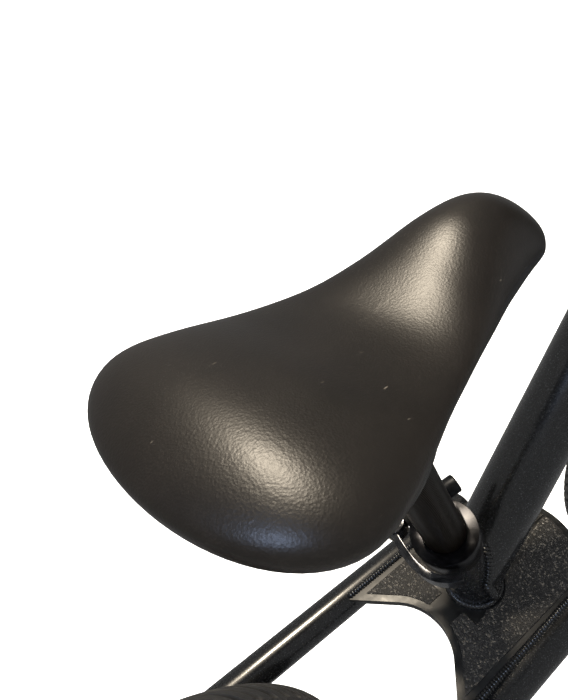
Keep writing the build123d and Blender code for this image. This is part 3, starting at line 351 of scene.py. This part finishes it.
# Painted warm reflection and painted ring glints: the ring pattern sets a brown-black colour, lighter on
# each ring's crest.
tone = add_node(turned_aluminium, "MapRange", {"Value": hatch.outputs["Value"], "From Min": -2.0,
                                               "From Max": 2.0})
painted_warm_reflection_and_ring_glints = ramp_between(turned_aluminium, tone.outputs["Result"],
                         [(0.1, colour("#0c0a08")), (0.9, colour("#221d17"))])
feed(turned_aluminium, painted_warm_reflection_and_ring_glints, shader.inputs["Base Color"])
shader.inputs["Roughness"].default_value = 0.36
paint_node(turned_aluminium, "seat_post")


# ---------------------------------------------------------------- seat clamp
# A forged and machined aluminium collar, anodised gloss black, pinched by a skewer with a round nut.
# Edges are broken, and the skewer and its barrel are blackened steel.
def softened(node, name, width, segments=2, sharp=35.0):
    """A copy of a CAD node with its loose triangles merged and its sharp edges rounded off."""
    piece = frame["nodes"][node].copy()
    piece.data = piece.data.copy()
    piece.name = name
    piece.parent = None
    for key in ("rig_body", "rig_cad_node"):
        del piece[key]
    bpy.context.scene.collection.objects.link(piece)
    bpy.ops.object.select_all(action="DESELECT")
    piece.select_set(True)
    bpy.context.view_layer.objects.active = piece
    bpy.ops.mesh.customdata_custom_splitnormals_clear()
    bpy.ops.object.mode_set(mode="EDIT")
    bpy.ops.mesh.select_all(action="SELECT")
    bpy.ops.mesh.remove_doubles(threshold=1e-6)
    bpy.ops.mesh.dissolve_limited(angle_limit=radians(0.5))
    bpy.ops.object.mode_set(mode="OBJECT")
    rounding = piece.modifiers.new("rounding", "BEVEL")
    rounding.width = width
    rounding.segments = segments
    rounding.limit_method = "ANGLE"
    rounding.angle_limit = radians(sharp)
    bpy.ops.object.modifier_apply(modifier=rounding.name)
    bpy.ops.object.shade_smooth_by_angle(angle=radians(sharp))
    stand_for(piece, node)
    return piece


def finish_piece(piece, finish):
    """Give a piece its finish in place of whatever it had."""
    piece.data.materials.clear()
    piece.data.materials.append(finish)


gloss_anodised, shader = new_finish("gloss_black_anodised_aluminium", Metallic=0.8)
dapple(gloss_anodised, shader, 4.0 * MM, ("#101012", "#1b1b1e"), (0.16, 0.26), 0.01 * MM)
satin_anodised, shader = new_finish("satin_black_anodised_aluminium", Metallic=0.8)
dapple(satin_anodised, shader, 3.0 * MM, ("#17181a", "#232427"), (0.34, 0.44), 0.02 * MM)
finish_piece(softened("seat_collar", "clamp_collar", 0.5 * MM, 3), gloss_anodised)
finish_piece(softened("clamp_nut", "skewer_nut", 0.5 * MM), satin_anodised)
paint_node(blackened_steel, "clamp_skewer", "clamp_barrel")

# ---------------------------------------------------------------- quick-release lever
# A forged aluminium lever, polished dark and curved round the collar.
# It has one polished finish all over, with small random changes of tone and gloss.
lever = softened("clamp_lever", "release_lever", 0.9 * MM, 3)
polished, shader = new_finish("dark_polished_aluminium", Metallic=0.95)
dapple(polished, shader, 6.0 * MM, ("#3a3b3e", "#5c5d60"), (0.14, 0.24), 0.01 * MM)
finish_piece(lever, polished)

# ---------------------------------------------------------------- painted frame
# Steel tubes and pressed dropouts, sprayed with gloss black powder coat and baked.
# The coat is thick and smooth with a faint orange peel, and shows a soft highlight along each tube.
powder_coat, shader = new_finish("gloss_black_powder_coat", IOR=1.5, Coat_Weight=0.6, Coat_Roughness=0.12)
dapple(powder_coat, shader, 1.6 * MM, ("#08090a", "#0c0d0f"), (0.24, 0.30), 0.03 * MM)
paint_node(powder_coat, "head_tube", "main_tube", "seat_tube", "rail_left", "rail_right")
finish_piece(softened("rear_dropouts", "rear_wheel_tabs", 0.8 * MM), powder_coat)


# ---------------------------------------------------------------- welds
# Each tube joint is a row of overlapping puddles from a hand-held torch, painted over with the frame.
# One puddle is modelled and laid along each joint, a little on from the last.
bpy.ops.object.select_all(action="DESELECT")
bpy.ops.mesh.primitive_uv_sphere_add(segments=12, ring_count=8, radius=1.0)
puddle = bpy.context.object
bpy.ops.object.mode_set(mode="EDIT")
bpy.ops.mesh.select_all(action="SELECT")
bpy.ops.transform.resize(value=(0.55, 1.0, 1.0))
bpy.ops.object.mode_set(mode="OBJECT")
bpy.ops.object.shade_smooth()
puddles = []
PUDDLE_LEAN = 0.35  # each puddle tips up a little, onto the one before


def lay_bead(points, outward, radius, pitch):
    """Lay puddles along a run of points at an even pitch. Outward gives the joint's open side at a point."""
    spots = [points[0]]
    spare = pitch
    for start, end in zip(points, points[1:]):
        run = (end - start).length
        at = spare
        while at <= run:
            spots.append(start.lerp(end, at / run))
            at += pitch
        spare = at - run
    for number, spot in enumerate(spots):
        near = spots[number - 1] if number else spots[1]
        along = (spot - near).normalized() if number else (near - spot).normalized()
        out = outward(spot)
        out = (out - along * out.dot(along)).normalized()
        lean = (along * cos(PUDDLE_LEAN) + out * sin(PUDDLE_LEAN)).normalized()
        across = out.cross(lean).normalized()
        mesh = puddle.data.copy()
        facing = Matrix((lean, across, lean.cross(across))).transposed().to_4x4()
        mesh.transform(Matrix.Translation(spot) @ facing @ Matrix.Scale(radius, 4))
        copy = bpy.data.objects.new("puddle", mesh)
        bpy.context.scene.collection.objects.link(copy)
        puddles.append(copy)


MAIN_ANGLE = radians(48.5)
MAIN_UP = Vector((cos(MAIN_ANGLE), 0.0, sin(MAIN_ANGLE)))
MAIN_SQUARE = Vector((-sin(MAIN_ANGLE), 0.0, cos(MAIN_ANGLE)))
MAIN_FOOT = SEAT_FOOT - Vector((21.3 * MM, 0.0, 0.0))
MAIN_RADIUS, SEAT_RADIUS = 20.0 * MM, 15.9 * MM
WELD = 3.0 * MM
PLATE_TOP = SEAT_FOOT.z


def main_rim(turn):
    """From the main tube's axis out to its skin, at an angle in degrees round it from its upper side."""
    square_on = MAIN_SQUARE * cos(radians(turn)) + Vector((0.0, 1.0, 0.0)) * sin(radians(turn))
    return square_on * MAIN_RADIUS


seat_ring = []
for step in range(-180, 181, 3):
    rim_out = main_rim(step)
    reach = sqrt(max((SEAT_RADIUS + WELD * 0.4) ** 2 - rim_out.y ** 2, 0.0))
    slide = (reach - (MAIN_FOOT + rim_out - SEAT_FOOT).dot(SEAT_FORWARD)) / MAIN_UP.dot(SEAT_FORWARD)
    spot = MAIN_FOOT + rim_out + MAIN_UP * slide
    if spot.z > PLATE_TOP + WELD:
        seat_ring.append(spot)


def off_axis(origin, direction):
    """Outward direction from an axis, as a function of the point."""
    return lambda spot: (spot - origin) - direction * (spot - origin).dot(direction)


lay_bead(seat_ring, lambda spot: off_axis(SEAT_FOOT, SEAT_UP)(spot).normalized() + Vector((0.0, 0.0, 0.6)),
         WELD, 2.4 * MM)

foot_reach = SEAT_RADIUS / sin(SEAT_ANGLE) + WELD * 0.3
foot_ring = [SEAT_FOOT + Vector((cos(radians(turn)) * foot_reach,
                                 sin(radians(turn)) * (SEAT_RADIUS + WELD * 0.3), 0.0))
             for turn in range(0, 361, 3)]
lay_bead(foot_ring, lambda spot: Vector((spot.x - SEAT_FOOT.x, spot.y, 0.02)), WELD * 0.95, 0.9 * MM)

RAIL_Y, RAIL_SPREAD, RAIL_DROP, RAIL_RADIUS = 53.4 * MM, 0.019, 10.0 * MM, 11.1 * MM
rail_half_chord = sqrt(RAIL_RADIUS ** 2 - RAIL_DROP ** 2)
for hand in (-1, 1):
    edge = RAIL_Y - rail_half_chord - 0.4 * MM
    rail_bead = [Vector((SEAT_FOOT.x - behind * MM, hand * (edge + RAIL_SPREAD * behind * MM), PLATE_TOP))
                 for behind in range(-34, 72, 3)]
    lay_bead(rail_bead, lambda spot: Vector((0.0, -0.2 * spot.y, 0.05)), WELD * 0.85, 2.2 * MM)

HEAD_ANGLE = radians(70.0)
STEER_UP = Vector((-cos(HEAD_ANGLE), 0.0, sin(HEAD_ANGLE)))
STEER_FORWARD = Vector((sin(HEAD_ANGLE), 0.0, cos(HEAD_ANGLE)))
STEER_FOOT = Vector((267.905, 0.0, 149.870)) * MM
HEAD_RADIUS = 21.5 * MM
head_ring = []
for step in range(0, 361, 3):
    rim_out = main_rim(step)
    reach = -sqrt((HEAD_RADIUS + WELD * 0.4) ** 2 - rim_out.y ** 2)
    slide = (reach - (MAIN_FOOT + rim_out - STEER_FOOT).dot(STEER_FORWARD)) / MAIN_UP.dot(STEER_FORWARD)
    head_ring.append(MAIN_FOOT + rim_out + MAIN_UP * slide)
lay_bead(head_ring, off_axis(MAIN_FOOT, MAIN_UP), WELD, 2.4 * MM)

bpy.data.objects.remove(puddle)
bpy.ops.object.select_all(action="DESELECT")
for copy in puddles:
    copy.select_set(True)
bpy.context.view_layer.objects.active = puddles[0]
bpy.ops.object.join()
beads = bpy.context.object
beads.name = "weld_beads"
finish_piece(beads, powder_coat)
stand_for(beads, "frame_welds")

# ---------------------------------------------------------------- foot plate and grip tape
# The plate is laser-cut steel, welded between the rails and coated with the frame, then rubbed satin.
# Two pieces of self-adhesive tape with mineral grit are stuck on top, and single grains glint.
rubbed_coat, shader = new_finish("rubbed_black_powder_coat", IOR=1.5, Coat_Weight=0.15, Coat_Roughness=0.3)
dapple(rubbed_coat, shader, 5.0 * MM, ("#0c0c0c", "#151514"), (0.34, 0.48), 0.04 * MM)
finish_piece(softened("foot_plate", "rider_plate", 1.2 * MM, 3), rubbed_coat)

GRIT = 0.9 * MM  # real grains are 0.4 mm; drawn coarser so that they show
grit_tape, shader = new_finish("mineral_grit_tape", IOR=1.55, Roughness=0.8)
place = add_node(grit_tape, "TexCoord").outputs["Object"]
grains = add_node(grit_tape, "TexVoronoi", {"Vector": place, "Scale": 1 / GRIT})
split_grain = add_node(grit_tape, "SeparateColor", {"Color": grains.outputs["Color"]})
mineral = ramp_between(grit_tape, split_grain.outputs["Red"],
                       [(0.0, colour("#100f0d")), (0.72, colour("#1d1b18")), (0.90, colour("#2c2a27")),
                        (0.98, colour("#57534c"))])
feed(grit_tape, mineral, shader.inputs["Base Color"])
glint = ramp_between(grit_tape, split_grain.outputs["Red"],
                     [(0.86, colour("#e0e0e0")), (0.95, colour("#707070"))])
feed(grit_tape, glint, shader.inputs["Roughness"])
relief = add_node(grit_tape, "Bump", {"Height": grains.outputs["Distance"], "Strength": 1.0,
                                      "Distance": 0.35 * MM})
relief.invert = True
feed(grit_tape, relief.outputs["Normal"], shader.inputs["Normal"])
paint_node(grit_tape, "grip_tape")

# ---------------------------------------------------------------- tyres
# Moulded rubber, matt black and slightly grey, with curved slanting grooves cut across a round tread.
# One pitch of the tread repeats right round. The grooves run out on the shoulders above smooth side walls.
TREAD_CENTRE, TREAD_RADIUS = 127.0 * MM, 28.0 * MM
WALL_INSIDE = 24.0 * MM
BEAD_Y, BEAD_FOOT, FLANGE_TOP = 12.6 * MM, 101.8 * MM, 109.0 * MM
PITCHES = 44
GROOVE_DEPTH = 2.4 * MM
GROOVE_START, GROOVE_END = 5.0, 64.0  # degrees round the section from the middle of the tread
# Places within a pitch, and the share of the groove's depth there: one deep groove and one shallower.
PITCH_STEPS = ((0.0, 0.0), (0.05, 1.0), (0.15, 1.0), (0.20, 0.0),
               (0.50, 0.0), (0.55, 0.7), (0.65, 0.7), (0.70, 0.0))


def section_angles():
    """Angles round the tyre's outer face, closer together where the grooves end."""
    wall = [-130.0, -122.0, -114.0, -106.0, -98.0, -90.0, -82.0, -75.0, -70.0]
    tread = [-66.0, -63.0, -60.0] + [float(a) for a in range(-56, -8, 4)] + [-8.0, -5.5, -4.0]
    half = wall + tread
    return half + [0.0] + [-a for a in reversed(half)]


outer = section_angles()
inner_turn = atan2(BEAD_Y - 4.0 * MM, -sqrt(WALL_INSIDE ** 2 - (BEAD_Y - 4.0 * MM) ** 2))
inner = [inner_turn - 2 * inner_turn * step / 16 for step in range(17)]
rows = len(outer) + 2 + 2 + len(inner)
columns = PITCHES * len(PITCH_STEPS)


def groove_share(angle):
    """How much of its depth a groove has at an angle round the section."""
    from_middle = abs(angle)
    start = min(max((from_middle - GROOVE_START) / 3.0, 0.0), 1.0)
    end = min(max((GROOVE_END - from_middle) / 4.0, 0.0), 1.0)
    return start * end


def tyre_section(row):
    """A row of the section: its place across, its radius, and its angle on the outer face or None inside."""
    if row < len(outer):
        angle = radians(outer[row])
        return TREAD_RADIUS * sin(angle), TREAD_CENTRE + TREAD_RADIUS * cos(angle), outer[row]
    row -= len(outer)
    corners = ((BEAD_Y, FLANGE_TOP), (BEAD_Y, BEAD_FOOT))
    if row < 2:
        return corners[row] + (None,)
    row -= 2
    if row < len(inner):
        return WALL_INSIDE * sin(inner[row]), TREAD_CENTRE + WALL_INSIDE * cos(inner[row]), None
    row -= len(inner)
    return -BEAD_Y, corners[1 - row][1], None


def make_tyre(name, hub_x, node):
    """A tyre from a grid bent round the section and the wheel, with the tread's grooves pressed in."""
    bpy.ops.object.select_all(action="DESELECT")
    bpy.ops.mesh.primitive_grid_add(x_subdivisions=columns, y_subdivisions=rows, size=2.0)
    piece = bpy.context.object
    piece.name = name
    for vertex in piece.data.vertices:
        column = round((vertex.co.x + 1) / 2 * columns)
        row = round((vertex.co.y + 1) / 2 * rows) % rows
        pitch, part = divmod(column, len(PITCH_STEPS))
        phase, cut = PITCH_STEPS[part]
        across, radius, angle = tyre_section(row)
        slant = 0.0
        if angle is not None:
            share = min(abs(angle) / GROOVE_END, 1.3)
            slant = 1.5 * share ** 1.4 + 0.25 * min(max(angle / GROOVE_START, -1.0), 1.0)
            sink = GROOVE_DEPTH * cut * groove_share(angle)
            across -= sink * sin(radians(angle))
            radius -= sink * cos(radians(angle))
        turn = 2 * pi * (pitch + phase + slant) / PITCHES
        vertex.co = (hub_x + radius * cos(turn), across, WHEEL_RADIUS + radius * sin(turn))
    bpy.ops.object.mode_set(mode="EDIT")
    bpy.ops.mesh.select_all(action="SELECT")
    bpy.ops.mesh.remove_doubles(threshold=1e-6)
    bpy.ops.mesh.normals_make_consistent(inside=False)
    bpy.ops.object.mode_set(mode="OBJECT")
    bpy.ops.object.shade_smooth_by_angle(angle=radians(38))
    finish_piece(piece, tyre_rubber)
    stand_for(piece, node)


WHEEL_RADIUS = 155.0 * MM
tyre_rubber, shader = new_finish("moulded_tyre_rubber", IOR=1.52)
dapple(tyre_rubber, shader, 3.0 * MM, ("#161514", "#201f1d"), (0.55, 0.72), 0.05 * MM)
for wheel, hub_x in (("front", 0.282), ("rear", -0.282)):
    make_tyre(wheel + "_treaded_tyre", hub_x, wheel + "_tyre")

butyl, shader = new_finish("butyl_rubber", IOR=1.52)
dapple(butyl, shader, 2.0 * MM, ("#151515", "#1d1d1d"), (0.5, 0.65), 0.03 * MM)
paint_node(butyl, "front_inner_tube", "rear_inner_tube")

# ---------------------------------------------------------------- rims, hubs and spokes
# Rolled aluminium rims and turned hub shells, both satin black anodised, laced with stainless spokes.
# The spokes are drawn wire, bright; their nipples are nickel-plated brass.
for wheel in ("front", "rear"):
    finish_piece(softened(wheel + "_rim", wheel + "_wheel_rim", 0.35 * MM), satin_anodised)
    finish_piece(softened(wheel + "_hub", wheel + "_hub_shell", 0.6 * MM), satin_anodised)
bright_wire, shader = new_finish("drawn_stainless_wire", Metallic=1.0)
dapple(bright_wire, shader, 1.5 * MM, ("#a9abae", "#bfc1c4"), (0.2, 0.3), 0.01 * MM)
nickel, shader = new_finish("nickel_plated_brass", Metallic=1.0)
dapple(nickel, shader, 1.2 * MM, ("#b4aea0", "#c8c3b6"), (0.22, 0.32), 0.01 * MM)
ground_steel, shader = new_finish("ground_bearing_steel", Metallic=1.0)
dapple(ground_steel, shader, 2.0 * MM, ("#8d8f92", "#a4a6a9"), (0.25, 0.35), 0.01 * MM)
paint_node(bright_wire, "front_spokes", "rear_spokes")
paint_node(nickel, "front_nipples", "rear_nipples")
paint_node(ground_steel, "front_wheel_bearings", "rear_wheel_bearings", "front_axle", "rear_axle",
           "front_axle_spacers", "rear_axle_spacers")
for wheel in ("front", "rear"):
    finish_piece(softened(wheel + "_axle_nuts", wheel + "_hub_nuts", 0.6 * MM), blackened_steel)


# ---------------------------------------------------------------- valves
# A rubber-covered car-type stem with a moulded plastic dust cap screwed on its end, turned here as one piece
# in the stem's rubber finish.
# The cap has a narrower neck and a domed end.
def turned(name, profile, origin, direction, steps=40):
    """A solid turned about an axis. Its profile is (radius, height) points in millimetres, end to end."""
    bpy.ops.object.select_all(action="DESELECT")
    bpy.ops.mesh.primitive_plane_add(size=MM)
    piece = bpy.context.object
    piece.name = name
    bpy.ops.object.mode_set(mode="EDIT")
    bpy.ops.mesh.select_all(action="SELECT")
    bpy.ops.mesh.merge(type="CENTER")
    at = (0.0, 0.0)
    for number, (radius, height) in enumerate(profile):
        step = ((radius - at[0]) * MM, 0.0, (height - at[1]) * MM)
        if number:
            bpy.ops.mesh.extrude_vertices_move(TRANSFORM_OT_translate={"value": step})
        else:
            bpy.ops.transform.translate(value=step)
        at = (radius, height)
    bpy.ops.mesh.select_all(action="SELECT")
    bpy.ops.mesh.spin(steps=steps, angle=2 * pi, center=(0.0, 0.0, 0.0), axis=(0.0, 0.0, 1.0))
    bpy.ops.mesh.select_all(action="SELECT")
    bpy.ops.mesh.remove_doubles(threshold=1e-6)
    bpy.ops.mesh.normals_make_consistent(inside=False)
    bpy.ops.object.mode_set(mode="OBJECT")
    bpy.ops.object.shade_smooth_by_angle(angle=radians(35))
    up = Vector(direction).normalized()
    side = up.orthogonal().normalized()
    piece.data.transform(Matrix.Translation(origin)
                         @ Matrix((side, up.cross(side), up)).transposed().to_4x4())
    return piece


VALVE_TURN = radians(99.0)
for wheel, hub_x in (("front", 0.282), ("rear", -0.282)):
    outward = Vector((cos(VALVE_TURN), 0.0, sin(VALVE_TURN)))
    tyre_end = Vector((hub_x, 0.0, WHEEL_RADIUS)) + outward * 103.5 * MM
    profile = [(0, 0), (3.0, 0), (3.0, 14), (2.6, 15.5), (2.6, 17.0), (2.95, 17.4), (2.95, 20), (2.7, 21.2),
               (2.7, 29), (2.2, 30.6), (0, 31.2)]
    stem = turned(wheel + "_valve_stem", profile, tyre_end, -outward, 24)
    finish_piece(stem, butyl)
    stand_for(stem, wheel + "_valve")

# ---------------------------------------------------------------- fork and headset
# A welded steel fork in the frame's powder coat, turning on two bearings under an anodised cover and spacer.
# The crown is a solid block with rounded ends, and the wheel tabs are flat plate.
finish_piece(softened("fork_crown", "fork_head", 0.8 * MM), powder_coat)
finish_piece(softened("fork_dropouts", "front_wheel_tabs", 0.8 * MM), powder_coat)
paint_node(powder_coat, "fork_leg_left", "fork_leg_right")
paint_node(ground_steel, "fork_steerer", "crown_race", "headset_bearings", "star_nut")
finish_piece(softened("headset_cover", "bearing_cover", 0.5 * MM), satin_anodised)
finish_piece(softened("headset_spacer", "steerer_spacer", 0.4 * MM), satin_anodised)

# ---------------------------------------------------------------- stem
# A forged and machined aluminium stem, satin black anodised, with a bolted faceplate and a cap.
# Its bolts are blackened steel with hexagon sockets.
finish_piece(softened("stem", "stem_body", 0.8 * MM), satin_anodised)
finish_piece(softened("stem_faceplate", "bar_clamp_plate", 0.6 * MM), satin_anodised)
finish_piece(softened("stem_cap", "steerer_cap", 0.4 * MM), satin_anodised)
finish_piece(softened("stem_bolts", "socket_bolts", 0.3 * MM), blackened_steel)
finish_piece(softened("cap_bolt", "steerer_bolt", 0.3 * MM), blackened_steel)

# ---------------------------------------------------------------- handlebar
# One steel tube bent four times, with a thinner crossbar welded between the uprights.
# Both are in the frame's powder coat.
paint_node(powder_coat, "handlebar", "crossbar")

# ---------------------------------------------------------------- grips
# Soft moulded rubber with a flange at the thumb side, fine ribs all along and a closed rounded end.
# It is pushed on over the bar's end, and its matt surface has a faint moulded texture.
GRIP_LENGTH, GRIP_RADIUS, FLANGE_RADIUS, BAR_RADIUS = 95.0, 15.0, 23.0, 11.15
soft_rubber, shader = new_finish("soft_moulded_rubber", IOR=1.5)
dapple(soft_rubber, shader, 0.8 * MM, ("#151515", "#1b1b1b"), (0.6, 0.75), 0.05 * MM)
RIB_PITCH = 4.0
BAR_CENTRE = Vector((181.16, 0.0, 505.15)) * MM
grip_run = Vector((0.0, 119.0, 0.0)) * MM - STEER_FORWARD * 16.0 * MM
grip_run.normalize()
for hand, node in ((1, "grip_left"), (-1, "grip_right")):
    outward = Vector((grip_run.x, hand * grip_run.y, grip_run.z))
    bar_end = (BAR_CENTRE + Vector((0.0, hand * 214.0 * MM, 0.0))
               + STEER_UP * 112.0 * MM - STEER_FORWARD * 16.0 * MM)
    ribs = []
    at = -GRIP_LENGTH + 6.0
    while at < -6.0:
        ribs += [(GRIP_RADIUS - 0.9, at), (GRIP_RADIUS - 0.15, at + 0.5),
                 (GRIP_RADIUS - 0.15, at + 1.9), (GRIP_RADIUS - 0.9, at + 2.4)]
        at += RIB_PITCH
    flange = [(BAR_RADIUS, -GRIP_LENGTH), (FLANGE_RADIUS - 1.0, -GRIP_LENGTH),
              (FLANGE_RADIUS, -GRIP_LENGTH + 1.0), (FLANGE_RADIUS, -GRIP_LENGTH + 2.8),
              (FLANGE_RADIUS - 1.2, -GRIP_LENGTH + 3.8), (GRIP_RADIUS + 1.0, -GRIP_LENGTH + 4.4),
              (GRIP_RADIUS - 0.9, -GRIP_LENGTH + 5.6)]
    closed_end = [(GRIP_RADIUS - 0.2, -3.0), (GRIP_RADIUS, 0.0), (GRIP_RADIUS, 2.6),
                  (GRIP_RADIUS - 1.2, 3.8), (0.0, 4.0), (0.0, 0.05), (BAR_RADIUS, 0.05),
                  (BAR_RADIUS, -GRIP_LENGTH)]
    profile = flange + ribs + closed_end
    grip = turned("ribbed_" + node, profile, bar_end, outward, 56)
    finish_piece(grip, soft_rubber)
    stand_for(grip, node)
